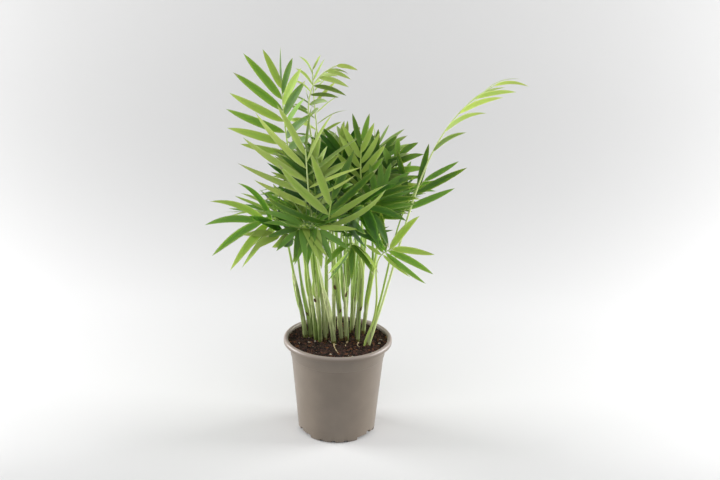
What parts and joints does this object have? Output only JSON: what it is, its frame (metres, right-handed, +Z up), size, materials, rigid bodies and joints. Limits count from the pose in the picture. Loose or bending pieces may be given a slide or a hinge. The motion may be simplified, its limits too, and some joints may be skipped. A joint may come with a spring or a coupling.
{
  "type": "potted parlour palm",
  "caption": "Clump of young parlour palm with arching feather fronds on slender green shoots, growing in a tapered plastic nursery pot.",
  "frame": {"origin": "centre of the pot's flat underside", "axes": "+Z up along the pot's axis, +X to the right and -Y towards the viewer in the front view"},
  "size_m": [0.3361, 0.2199, 0.4356],
  "materials": {
    "pot": "satin moulded plastic",
    "compost": "moist bark and peat crumb",
    "stem": "smooth green stem",
    "young_leaf": "soft young leaf",
    "bright_leaf": "satin leaf",
    "mid_leaf": "satin leaf",
    "dark_leaf": "satin leaf"
  },
  "bodies": {
    "root": {"back_high_0": "dark_leaf", "back_high_1": "dark_leaf", "back_high_2": "dark_leaf", "back_high_3": "dark_leaf", "back_high_4": "dark_leaf", "back_high_5": "dark_leaf", "back_low_0": "mid_leaf", "back_low_1": "mid_leaf", "back_low_2": "mid_leaf", "back_low_3": "mid_leaf", "back_low_4": "mid_leaf", "back_low_5": "mid_leaf", "bright_centre": "bright_leaf", "centre": "dark_leaf", "centre_fold": "mid_leaf", "centre_left": "dark_leaf", "centre_low": "dark_leaf", "centre_right": "mid_leaf", "compost": "compost", "dark_front": "dark_leaf", "front_hand": "mid_leaf", "front_low": "bright_leaf", "front_right": "mid_leaf", "left_front": "dark_leaf", "left_low": "mid_leaf", "left_middle": "mid_leaf", "light_left": "young_leaf", "long_right": "young_leaf", "middle_0": "mid_leaf", "middle_1": "mid_leaf", "middle_2": "mid_leaf", "middle_3": "mid_leaf", "pale_top": "young_leaf", "pot": "pot", "right_inner": "mid_leaf", "right_low": "bright_leaf", "right_middle": "mid_leaf", "right_tuft": "bright_leaf", "shoot_00": "stem", "shoot_01": "stem", "shoot_02": "stem", "shoot_03": "stem", "shoot_04": "stem", "shoot_05": "stem", "shoot_06": "stem", "shoot_07": "stem", "shoot_08": "stem", "shoot_09": "stem", "shoot_10": "stem", "shoot_11": "stem", "shoot_12": "stem", "shoot_13": "stem", "shoot_14": "stem", "shoot_15": "stem", "shoot_16": "stem", "shoot_17": "stem", "shoot_18": "stem", "shoot_19": "stem", "tall_left": "bright_leaf", "yellow_top": "young_leaf"}
  },
  "joints": []
}
